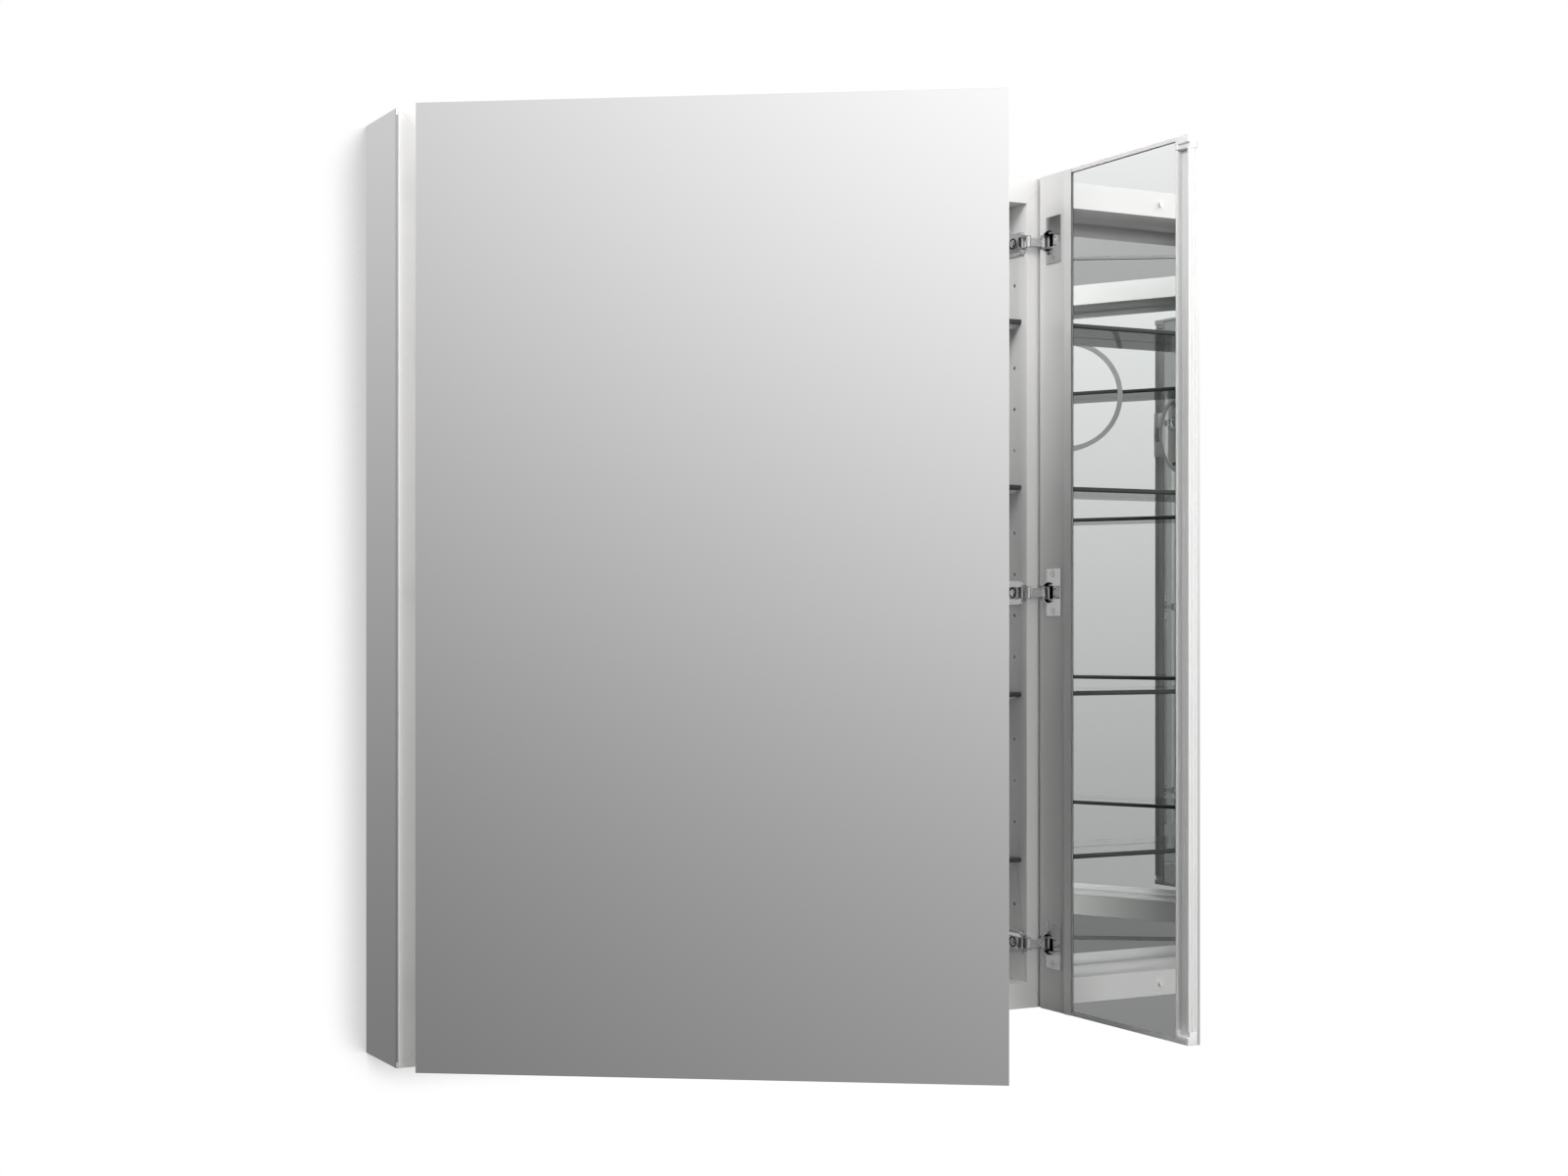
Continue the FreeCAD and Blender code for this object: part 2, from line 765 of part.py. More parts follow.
door_widths = {"left": left_door_width, "right": right_door_width}
for side, width in door_widths.items():
    door_pieces = {
        "front_mirror": [front_mirror(width)],
        "hinge_stile": [hinge_stile()],
        "free_stile": [free_stile(width)],
        "corner_caps": [corner_cap(width, -1), corner_cap(width, 1)],
        "top_rail": [rail(width, 1)],
        "bottom_rail": [rail(width, -1)],
        "backing_board": [backing_board(width)],
        "inner_mirror": [inner_mirror(width)],
        "hinge_cups": [hinge_cup(z) for z in hinge_levels],
        "hub_pins": [
            upright(hub_pivot, pin_radius, z - nose_half_height + 0.1, z + nose_half_height - 0.1)
            for z in hinge_levels
        ],
        "cup_screws": [
            cup_screw(z + end * cup_screw_pitch / 2) for z in hinge_levels for end in (-1, 1)
        ],
    }
    for piece, solids in door_pieces.items():
        save(side + "_door_" + piece, [place(side, solid, door_moves) for solid in solids])

    link_pins = [upright(cup_pivot, pin_radius, z - yoke_outer, z + yoke_outer) for z in hinge_levels]
    links = [hinge_link(z) for z in hinge_levels]
    yokes = [hinge_yoke(z) for z in hinge_levels]
    save(side + "_hinge_links", [place(side, link, link_moves) for link in links])
    save(side + "_link_pins", [place(side, pin, link_moves) for pin in link_pins])
    save(side + "_hinge_yokes", [place(side, yoke, yoke_moves) for yoke in yokes])

# ---- soft stops on the front of the case ----
bumper_radius = 4.0
bumper_from_free_edge = 45.0
bumper_height = half_height - frame_face / 2
bumper_thickness = door_standoff + inner_glass_recess - body_clearance
left_bumper_x = door_x(left_door_width - bumper_from_free_edge)
right_bumper_x = door_x(left_door_width + door_gap + bumper_from_free_edge)
save("door_bumpers", [
    rod(bumper_radius, (x, case_front, z), (x, case_front - bumper_thickness, z))
    for x in (left_bumper_x, right_bumper_x)
    for z in (-bumper_height, bumper_height)
])

# ---- magnifying mirror on the left door's free stile ----
pin_edge = left_door_width - free_stile_width / 2
magnifier_edge = pin_edge - magnifier_radius - 9.0
magnifier_pin_radius = 2.0
block_radius = 3.5
magnifier_axis = (door_x(pin_edge), door_y(-magnifier_standoff))
magnifier_centre = (door_x(magnifier_edge), magnifier_height)
block_z = (
    magnifier_height - magnifier_block_height / 2,
    magnifier_height + magnifier_block_height / 2,
)
channel_start = left_door_width - free_stile_width + pull_wall
channel_end = left_door_width - pull_wall


def magnifier_clip():
    """The slider in the finger channel, with the barrel that the pin turns in."""
    foot = door_box(
        (channel_start + body_clearance, channel_end - body_clearance),
        (0.5, pull_depth - body_clearance),
        block_z,
    )
    neck = door_box((pin_edge - 3.5, pin_edge + 3.5), (-magnifier_standoff, 1), block_z)
    barrel = upright(magnifier_axis, block_radius, *block_z)
    bore = upright(magnifier_axis, magnifier_pin_radius + running_clearance, block_z[0] - 1, block_z[1] + 1)
    return join([foot, neck, barrel]).cut(bore)


def magnifier_disc(radius, d_back, d_front):
    """A round plate about the magnifier's centre, between two depths of the door."""
    x, z = magnifier_centre
    return rod(radius, (x, door_y(d_back), z), (x, door_y(d_front), z))


ring_back = -magnifier_standoff + magnifier_depth / 2
ring_face = -magnifier_standoff - magnifier_depth / 2
glass_radius = magnifier_radius - 2.5
lug_height = (magnifier_pin_length - magnifier_block_height) / 2 - body_clearance
back_lip = 0.8


def magnifier_ring():
    """The round frame with two lugs that hold the ends of the pin."""
    band = magnifier_disc(magnifier_radius, ring_back, ring_face)
    sight = magnifier_disc(magnifier_radius - magnifier_band, ring_back + 1, ring_face - 1)
    seat_cut = magnifier_disc(glass_radius, ring_back + 1, ring_face + back_lip)
    ring = band.cut([sight, seat_cut])
    pieces = [ring]
    hinge_half = magnifier_pin_length / 2
    for low in (magnifier_height - hinge_half, magnifier_height + hinge_half - lug_height):
        barrel = upright(magnifier_axis, 3.4, low, low + lug_height)
        drop = abs(low + lug_height / 2 - magnifier_height)
        reach = math.sqrt(magnifier_radius ** 2 - (drop - lug_height / 2) ** 2)
        arm = door_box(
            (magnifier_edge + reach - 8.0, pin_edge),
            (ring_back - 0.8, ring_face + 0.8),
            (low, low + lug_height),
        )
        arm = arm.cut(magnifier_disc(magnifier_radius - 1.5, ring_back + 1, ring_face - 1))
        pieces += [barrel, arm]
    bore = upright(
        magnifier_axis,
        magnifier_pin_radius + 0.05,
        magnifier_height - hinge_half - 1,
        magnifier_height + hinge_half + 1,
    )
    return join(pieces).cut(bore)


magnifier_pieces = {
    "magnifier_clip": magnifier_clip(),
    "magnifier_ring": magnifier_ring(),
    "magnifier_glass": magnifier_disc(
        glass_radius - fit_clearance, ring_face + back_lip + 2.6, ring_face + back_lip
    ),
    "magnifier_back": magnifier_disc(
        glass_radius - fit_clearance, ring_back, ring_face + back_lip + 2.6
    ),
    "magnifier_pin": upright(
        magnifier_axis,
        magnifier_pin_radius,
        magnifier_height - magnifier_pin_length / 2,
        magnifier_height + magnifier_pin_length / 2,
    ),
}
for piece, solid in magnifier_pieces.items():
    save(piece, [place("left", solid, door_moves)])


# ---- where the hinge axes stand at rest ----
def rest_point(side, pivot, moves):
    """World x, y of a pivot at rest."""
    marker = Part.Vertex(pivot[0], pivot[1], 0)
    point = place(side, marker, moves).Point
    return round(point.x, 4), round(point.y, 4)


for side in ("left", "right"):
    print(side, "arm pivot", rest_point(side, arm_pivot, {side: []}))
    print(side, "cup pivot", rest_point(side, cup_pivot, link_moves))
    print(side, "hub pivot", rest_point(side, hub_pivot, yoke_moves))
print("magnifier axis", rest_point("left", magnifier_axis, door_moves))
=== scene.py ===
import json
import math

import bmesh
import bpy
from mathutils import Matrix, Vector


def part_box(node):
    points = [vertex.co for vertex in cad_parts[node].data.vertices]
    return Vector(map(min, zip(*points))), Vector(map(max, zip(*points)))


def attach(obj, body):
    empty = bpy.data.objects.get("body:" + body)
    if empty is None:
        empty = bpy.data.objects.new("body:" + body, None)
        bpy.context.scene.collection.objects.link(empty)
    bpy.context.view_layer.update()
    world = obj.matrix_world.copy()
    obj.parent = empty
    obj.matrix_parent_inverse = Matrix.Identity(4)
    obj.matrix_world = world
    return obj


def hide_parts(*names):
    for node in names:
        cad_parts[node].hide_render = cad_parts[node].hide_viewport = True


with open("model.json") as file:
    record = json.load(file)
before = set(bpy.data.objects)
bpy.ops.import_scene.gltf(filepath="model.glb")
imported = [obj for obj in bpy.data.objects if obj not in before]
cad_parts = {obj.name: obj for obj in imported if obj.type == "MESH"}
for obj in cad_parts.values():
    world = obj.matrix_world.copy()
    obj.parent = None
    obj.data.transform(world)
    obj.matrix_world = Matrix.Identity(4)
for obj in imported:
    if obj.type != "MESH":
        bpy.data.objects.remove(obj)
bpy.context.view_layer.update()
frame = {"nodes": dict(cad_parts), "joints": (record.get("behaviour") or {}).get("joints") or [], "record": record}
nodes = frame["nodes"]
joints = {joint["name"]: joint for joint in frame["joints"]}
body_of_node = {
    node: body
    for body, members in frame["record"]["behaviour"]["bodies"].items()
    for node in members
}

MM = 0.001
UP = Vector((0, 0, 1))
SHARP_ANGLE = math.radians(35)


# ---------------------------------------------------------------- node trees
def add_node(tree, kind, inputs=None, **settings):
    """Adds a node to a tree. Each input is a value, or the output of another node that feeds it."""
    node = tree.nodes.new(kind)
    for name, value in settings.items():
        setattr(node, name, value)
    for socket, value in (inputs or {}).items():
        if isinstance(value, bpy.types.NodeSocket):
            tree.links.new(value, node.inputs[socket])
        else:
            node.inputs[socket].default_value = value
    return node


def spread(source, span, tones):
    """The inputs of a Map Range node that turns the values in a span into a range of tones."""
    return {
        "Value": source,
        "From Min": span[0],
        "From Max": span[1],
        "To Min": tones[0],
        "To Max": tones[1],
    }


# ---------------------------------------------------------------- materials
NOISE_SPAN = (0.3, 0.7)
MIX_FIRST, MIX_SECOND, MIX_RESULT = 6, 7, 2


class Shader:
    """A material under construction: a Principled shader and the nodes that feed it."""

    def __init__(self, name, **fixed):
        self.material = bpy.data.materials.new(name)
        self.material.use_nodes = True
        self.tree = self.material.node_tree
        self.shader = self.tree.nodes["Principled BSDF"]
        for socket, value in fixed.items():
            self.shader.inputs[socket.replace("_", " ")].default_value = value
        self.place = self.add("ShaderNodeTexCoord").outputs["Object"]

    def add(self, kind, inputs=None, **settings):
        return add_node(self.tree, kind, inputs, **settings)

    def feed(self, socket, source):
        self.tree.links.new(source, self.shader.inputs[socket])

    def stretched(self, scale):
        """Object coordinates scaled along each axis."""
        return self.add("ShaderNodeMapping", {"Vector": self.place, "Scale": scale}).outputs[0]

    def noise(self, scale, detail, stretch=(1, 1, 1), roughness=0.5):
        inputs = {
            "Vector": self.stretched(stretch),
            "Scale": scale,
            "Detail": detail,
            "Roughness": roughness,
        }
        return self.add("ShaderNodeTexNoise", inputs).outputs["Fac"]

    def ranged(self, source, low, high):
        """Spreads the middle values of a noise over a range."""
        return self.add("ShaderNodeMapRange", spread(source, NOISE_SPAN, (low, high))).outputs[0]

    def between(self, factor, first, second):
        """A mix of two colours."""
        inputs = {"Factor": factor, MIX_FIRST: (*first, 1), MIX_SECOND: (*second, 1)}
        return self.add("ShaderNodeMix", inputs, data_type="RGBA").outputs[MIX_RESULT]

    def bump(self, height, strength, distance):
        inputs = {"Height": height, "Strength": strength, "Distance": distance}
        node = self.add("ShaderNodeBump", inputs)
        self.feed("Normal", node.outputs[0])


def darker(colour, share):
    return tuple(share * c for c in colour)


def satin_metal(name, light, dark, roughness, grain, metallic=0.2):
    """Anodised or brushed metal. grain is the stretch of the brushing along x, y and z."""
    s = Shader(name, Metallic=metallic)
    fine = s.noise(900.0, 2.0, grain)
    cloudy = s.noise(6.0, 2.0)
    s.feed("Base Color", s.between(cloudy, dark, light))
    s.feed("Roughness", s.ranged(fine, roughness - 0.04, roughness + 0.04))
    s.bump(fine, 0.06, 0.0002)
    return s.material


def polished_metal(name, colour, roughness):
    """Plated metal, with soft variation from handling."""
    s = Shader(name, Metallic=1.0, Base_Color=(*colour, 1))
    marks = s.noise(240.0, 4.0)
    s.feed("Roughness", s.ranged(marks, roughness, roughness + 0.08))
    s.bump(s.noise(500.0, 1.0), 0.03, 0.0001)
    return s.material


def mirror_silver(name, colour):
    """Silvered glass: a clean reflection with the faintest haze."""
    s = Shader(name, Metallic=1.0, Base_Color=(*colour, 1))
    haze = s.noise(14.0, 3.0)
    s.feed("Roughness", s.ranged(haze, 0.0, 0.006))
    return s.material


def glass_edge(name, colour):
    """The ground and polished edge of a sheet of silvered glass."""
    s = Shader(name, IOR=1.5, Coat_Weight=0.6, Coat_Roughness=0.1)
    streaks = s.noise(120.0, 3.0, (1, 1, 0.1))
    s.feed("Base Color", s.between(streaks, darker(colour, 0.8), colour))
    s.feed("Roughness", s.ranged(streaks, 0.18, 0.3))
    return s.material


def moulded_plastic(name, colour, roughness):
    """Plastic with a faint mottle and the fine grain of its mould."""
    s = Shader(name, IOR=1.46)
    mottle = s.noise(40.0, 2.0)
    s.feed("Base Color", s.between(mottle, darker(colour, 0.96), colour))
    grain = s.noise(1400.0, 2.0)
    s.feed("Roughness", s.ranged(grain, roughness - 0.04, roughness + 0.05))
    s.bump(grain, 0.08, 0.0002)
    return s.material


def smoked_glass(name, colour):
    """Dark grey glass, so deep that it reads as solid, with faint smears."""
    s = Shader(name, IOR=1.5, Specular_IOR_Level=0.25)
    smears = s.noise(7.0, 2.0)
    s.feed("Base Color", s.between(smears, darker(colour, 0.95), colour))
    s.feed("Roughness", s.ranged(smears, 0.05, 0.08))
    return s.material


def painted_sheet(name, colour, roughness):
    """Paint with a slight orange peel."""
    s = Shader(name, IOR=1.5)
    peel = s.noise(320.0, 2.0)
    s.feed("Base Color", s.between(s.noise(5.0, 2.0), darker(colour, 0.94), colour))
    s.feed("Roughness", s.ranged(peel, roughness - 0.05, roughness + 0.05))
    s.bump(peel, 0.1, 0.0003)
    return s.material


def fibre_board(name, colour):
    """Dull board with streaks of fibre."""
    s = Shader(name, IOR=1.4)
    fibres = s.noise(160.0, 5.0, (1, 1, 0.4), 0.7)
    s.feed("Base Color", s.between(fibres, darker(colour, 0.7), colour))
    s.feed("Roughness", s.ranged(fibres, 0.7, 0.9))
    s.bump(fibres, 0.3, 0.0005)
    return s.material


BRUSHED_UP = (1, 1, 0.02)
BRUSHED_ACROSS = (0.02, 1, 1)
EVEN_GRAIN = (1, 1, 1)
SATIN = ((0.86, 0.855, 0.845), (0.82, 0.815, 0.805), 0.36)
ALUMINIUM = satin_metal("satin_aluminium", *SATIN, BRUSHED_UP)
ALUMINIUM_ACROSS = satin_metal("satin_aluminium_across", *SATIN, BRUSHED_ACROSS)
BRIGHT_ALUMINIUM = satin_metal(
    "bright_aluminium", (0.84, 0.84, 0.835), (0.80, 0.80, 0.795), 0.24, BRUSHED_UP
)
CHROME = polished_metal("chrome_plate", (0.68, 0.68, 0.69), 0.12)
ZINC = polished_metal("zinc_plate", (0.62, 0.63, 0.65), 0.28)
SILVER = mirror_silver("mirror_silver", (0.94, 0.94, 0.938))
EDGE = glass_edge("mirror_edge", (0.49, 0.54, 0.525))
WHITE = moulded_plastic("white_plastic", (0.86, 0.86, 0.85), 0.35)
CLEAR = moulded_plastic("soft_clear_plastic", (0.55, 0.56, 0.57), 0.2)
BLACK_PLASTIC_AND_SLOT_SHADE = moulded_plastic("black_plastic_and_painted_slot_shade", (0.012, 0.012, 0.013), 0.4)
SMOKED = smoked_glass("smoked_glass", (0.058, 0.062, 0.060))
WHITE_SHEET = painted_sheet("white_painted_sheet", (0.80, 0.80, 0.79), 0.4)
BOARD = fibre_board("backing_board", (0.42, 0.42, 0.41))
# Near-black steel for the inside of the hinge cups: its darkness is painted shade for the deep recess.
CUP_PAINTED_SHADE_STEEL = polished_metal("cup_steel_darkened_as_painted_shade", (0.035, 0.035, 0.037), 0.4)
BACKING = painted_sheet("mirror_backing", (0.30, 0.31, 0.32), 0.45)
INNER_SILVER = mirror_silver("inner_mirror_silver", (0.89, 0.905, 0.90))
# Near black: the arris round some mirrors, and the strip along each door's rib, where it is a painted shadow line.
DARK_ARRIS_AND_PAINTED_SHADOW = moulded_plastic("dark_arris_and_painted_shadow_line", (0.02, 0.02, 0.02), 0.5)
RING = polished_metal("satin_ring", (0.60, 0.61, 0.61), 0.3)
# A lighter, less metallic copy of the satin aluminium for the rib: painted light, so that the rib looks brighter
# than the flat of the stile.
RIB_ALUMINIUM_PAINTED_LIGHT = satin_metal(
    "rib_aluminium_with_painted_light", (0.88, 0.875, 0.865), (0.85, 0.845, 0.835), 0.3, BRUSHED_UP, metallic=0.1
)
NICKEL = satin_metal(
    "satin_nickel", (0.80, 0.80, 0.80), (0.74, 0.74, 0.75), 0.26, EVEN_GRAIN, metallic=0.55
)


# ---------------------------------------------------------------- what each CAD node is finished in
finishes = {
    "case_left_side": ALUMINIUM,
    "case_right_side": ALUMINIUM,
    "case_top": ALUMINIUM_ACROSS,
    "case_bottom": ALUMINIUM_ACROSS,
    "left_side_mirror": SILVER,
    "right_side_mirror": SILVER,
    "back_mirror": SILVER,
    "back_panel": WHITE_SHEET,
    "back_stiffener": ZINC,
    "hanging_rail": ZINC,
    "wall_rail": ZINC,
    "corner_keys": ZINC,
    "door_bumpers": WHITE,
    "shelf_supports": CLEAR,
    "magnifier_ring": RING,
    "magnifier_pin": CHROME,
    "magnifier_glass": SILVER,
    "magnifier_back": WHITE,
    "magnifier_clip": WHITE,
}
for number in range(1, 5):
    finishes[f"shelf_{number}"] = SMOKED
for side in ("left", "right"):
    door = f"{side}_door_"
    finishes.update({
        door + "front_mirror": SILVER,
        door + "inner_mirror": INNER_SILVER,
        door + "hinge_stile": ALUMINIUM,
        door + "free_stile": BRIGHT_ALUMINIUM,
        door + "top_rail": ALUMINIUM_ACROSS,
        door + "bottom_rail": ALUMINIUM_ACROSS,
        door + "corner_caps": WHITE,
        door + "backing_board": BOARD,
        side + "_hinge_links": NICKEL,
    })


def finish_of(node):
    """A CAD node's finish. What the list leaves out, such as screws and pins, is plated."""
    return finishes.get(node, CHROME)


for node in nodes:
    slots = nodes[node].data.materials
    slots.clear()
    slots.append(finish_of(node))


# ---------------------------------------------------------------- making shapes
def new_piece(name, mesh, body, finishes, stands_for=()):
    """Shows a finished mesh as a piece that rides on a body, and may stand for CAD nodes."""
    piece = bpy.data.objects.new(name, mesh)
    bpy.context.scene.collection.objects.link(piece)
    mesh.materials.clear()
    for finish in finishes:
        mesh.materials.append(finish)
    if stands_for:
        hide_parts(*stands_for)
    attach(piece, body)
    return piece


def prism(shape, outline, low, high, lay):
    """Adds a prism on an outline of (u, v) points. lay turns (u, v, height) into a place."""
    near = [shape.verts.new(lay(u, v, low)) for u, v in outline]
    far = [shape.verts.new(lay(u, v, high)) for u, v in outline]
    shape.faces.new(near)
    shape.faces.new(reversed(far))
    for k, vertex in enumerate(near):
        after = (k + 1) % len(near)
        shape.faces.new((vertex, near[after], far[after], far[k]))


def oblong(u, v):
    return [(u[0], v[0]), (u[1], v[0]), (u[1], v[1]), (u[0], v[1])]


def oblong_at(u, level, half):
    """An oblong that reaches half its height above and below a level."""
    return oblong(u, (level - half, level + half))


def circle(centre, radius, steps=32, start=0.0, sweep=360.0):
    """Points round a circle, or along part of one."""
    count = steps if sweep >= 360 else steps + 1
    points = []
    for k in range(count):
        angle = math.radians(start + sweep * k / steps)
        points.append((centre[0] + radius * math.cos(angle), centre[1] + radius * math.sin(angle)))
    return points


HOOP_STEPS = 40


def hoop(shape, centre, inner, outer, low, high, lay):
    """Adds a flat-sided ring."""
    rims = [
        [shape.verts.new(lay(u, v, height)) for u, v in circle(centre, radius, HOOP_STEPS)]
        for radius, height in ((inner, low), (outer, low), (outer, high), (inner, high))
    ]
    for k in range(HOOP_STEPS):
        after = (k + 1) % HOOP_STEPS
        for side, rim in enumerate(rims):
            other = rims[(side + 1) % 4]
            shape.faces.new((rim[k], rim[after], other[after], other[k]))


def ease(shape, width, segments):
    """Eases every sharp arris by a small width, in millimetres."""
    edges = [
        edge for edge in shape.edges
        if len(edge.link_faces) == 2 and edge.calc_face_angle(0.0) > SHARP_ANGLE
    ]
    made = bmesh.ops.bevel(
        shape,
        geom=edges,
        offset=width * MM,
        offset_type="OFFSET",
        segments=segments,
        profile=0.5,
        affect="EDGES",
        clamp_overlap=True,
    )
    for face in made["faces"]:
        face.smooth = True


def finished(name, shape):
    """Turns a bmesh into a mesh with its faces outwards."""
    bmesh.ops.recalc_face_normals(shape, faces=shape.faces)
    mesh = bpy.data.meshes.new(name)
    shape.to_mesh(mesh)
    shape.free()
    return mesh


def without(mesh, tool):
    """A mesh less the solids of another."""
    holders = []
    for data in (mesh, tool):
        holder = bpy.data.objects.new(data.name, data)
        bpy.context.scene.collection.objects.link(holder)
        holders.append(holder)
    cut = holders[0].modifiers.new("cut", "BOOLEAN")
    cut.operation = "DIFFERENCE"
    cut.solver = "EXACT"
    cut.use_self = True
    cut.object = holders[1]
    view = bpy.context.evaluated_depsgraph_get()
    result = bpy.data.meshes.new_from_object(holders[0].evaluated_get(view))
    for holder in holders:
        bpy.data.objects.remove(holder)
    return result


JOIN_WITHIN = 0.002 * MM
FLAT_WITHIN = math.radians(0.6)


def merged(node):
    """A CAD node's shape with its loose triangles joined and its flat faces made whole."""
    shape = bmesh.new()
    shape.from_mesh(nodes[node].data)
    bmesh.ops.remove_doubles(shape, verts=shape.verts, dist=JOIN_WITHIN)
    bmesh.ops.dissolve_limit(shape, angle_limit=FLAT_WITHIN, verts=shape.verts, edges=shape.edges)
    return shape


def eased_node(node, width, segments=1):
    """Stands for a CAD node: the same piece with its arrises eased."""
    shape = merged(node)
    for face in shape.faces:
        face.smooth = False
    ease(shape, width, segments)
    mesh = bpy.data.meshes.new(node + "_eased")
    shape.to_mesh(mesh)
    shape.free()
    mesh.set_sharp_from_angle(angle=SHARP_ANGLE)
    new_piece(node + "_eased", mesh, body_of_node[node], [finish_of(node)], [node])


FACE, BACK, GROUND_EDGE, ARRIS = range(4)
CORNER_ANGLE = math.radians(60)
SQUARE_ON = 0.95
SIDEWAYS = -0.1


def glass_node(node, facing, arris, arris_finish):
    """Stands for a sheet of silvered glass: a clean face, a painted back, ground edges and an arris round
    the face with a finish of its own. An arris of 0 leaves the corners square."""
    shape = merged(node)
    facing = Vector(facing).normalized()
    made = bmesh.ops.bevel(
        shape,
        geom=[edge for edge in shape.edges if edge.calc_face_angle(0.0) > CORNER_ANGLE],
        offset=arris * MM,
        offset_type="OFFSET",
        segments=1,
        affect="EDGES",
        clamp_overlap=True,
    ) if arris else {"faces": []}
    arris_faces = set(made["faces"])
    for face in shape.faces:
        turned = face.normal.dot(facing)
        if face in arris_faces:
            face.material_index = ARRIS if turned > SIDEWAYS else GROUND_EDGE
        elif turned > SQUARE_ON:
            face.material_index = FACE
        elif turned < -SQUARE_ON:
            face.material_index = BACK
        else:
            face.material_index = GROUND_EDGE
    mesh = bpy.data.meshes.new(node + "_sheet")
    shape.to_mesh(mesh)
    shape.free()
    layers = [finish_of(node), BACKING, EDGE, arris_finish]
    new_piece(node + "_sheet", mesh, body_of_node[node], layers, [node])


# ---------------------------------------------------------------- where the doors stand
REST_TURN = {"left": 29.7, "right": 90.0}
HUB_E, HUB_D = 5.85, 8.35
HINGE_LEVELS = (-428.0, 0.0, 428.0)


def door_place(side):
    """How to place a point of an open door, given in millimetres: e from the hinge edge, d from the inner
    face and z up. Returns lay(e, d, z), flat(e, z, d) and the way that the front of the door faces."""
    turn = math.radians(REST_TURN[side])
    hand = 1 if side == "left" else -1
    along = Vector((hand * math.cos(turn), -math.sin(turn), 0))
    forward = Vector((-hand * math.sin(turn), -math.cos(turn), 0))
    hub = Vector(joints[side + "_door_swing"]["pos_m"])

    def lay(e, d, z):
        return hub + ((e - HUB_E) * along + (d - HUB_D) * forward + z * UP) * MM

    def flat(e, z, d):
        return lay(e, d, z)

    return lay, flat, forward


# ---------------------------------------------------------------- hinge cups, in a door's millimetres
CUP_CENTRE_E = 16.6
CUP_RADIUS = 13.6
CUP_WALL = 0.8
CUP_INNER = CUP_RADIUS - CUP_WALL
CUP_DEPTH = (-0.9, 11.6)
CUP_FLOOR = (10.9, 11.8)
FLOOR_OVERLAP = 0.3
LIP_INNER = CUP_INNER - 0.1
LIP_OUTER = CUP_RADIUS + 0.5
LIP_DEPTH = (-1.0, -0.1)
WING = (12.4, 38.6)
WING_HALF = 28.5
WING_THICK = 1.3
ARC_STEPS = 14
CUP_SCREW_E = 24.2
CUP_SCREW_HALF = 22.5
CUP_SCREW_HOLE = 3.9
SCREW_HOLE_DEPTH = (-3.0, 1.0)

# Three openings: a notch at the hinge edge, a deeper one for the nose of the yoke, and a bay on the other
# side, where the arm lies when the door is shut. Each is its reach from the hinge edge, half its height and
# its depths. The cuts in the stile start at different depths, so that no two of them share a face.
NOTCH_HALF = 8.5
NOSE_HALF = 7.9
BAY_END = 37.2
BAY_HALF = 7.9
SHELL_CUTS = (
    ((-2, 7), NOTCH_HALF, (-3, 6.5)),
    ((-1, 12), NOSE_HALF, (1, 10.8)),
    ((20, BAY_END), BAY_HALF, (-3, 9.9)),
)
LIP_CUTS = (
    ((-2, 7), NOTCH_HALF, (-3, 6.5)),
    ((20, BAY_END), BAY_HALF, (-3, 6.5)),
)
STILE_CUTS = (
    ((-2, 5), NOTCH_HALF, (-3.5, 6.5)),
    ((1.4, 13.0), NOSE_HALF, (-3.2, 11.9)),
    ((20, BAY_END), BAY_HALF, (-3.1, 9.9)),
)

# Inside a cup: the spring housing with a cheek on each side of it, two slots and two buffers. The slots are thin
# black plates on the housing: painted shade for their openings.
HOUSING = (15.4, BAY_END - 0.1)
HOUSING_HALF = 7.8
HOUSING_DEPTH = (7.0, 9.8)
CHEEK = (17.2, 25.8)
CHEEK_Z = 9.0
CHEEK_HALF = 1.0
CHEEK_DEPTH = (-1.0, 9.8)
SLOT = (17.0, 19.4)
SLOT_Z = 4.6
SLOT_HALF = 0.9
SLOT_DEPTH = (6.85, 7.5)
BUFFER_E = 15.6
BUFFER_Z = 10.9
BUFFER_RADIUS = 1.2
BUFFER_DEPTH = (0.5, 9.0)


def add_cuts(shape, cuts, level, flat):
    """Adds the blocks that open a piece at one hinge."""
    for reach, half, depth in cuts:
        prism(shape, oblong_at(reach, level, half), *depth, flat)


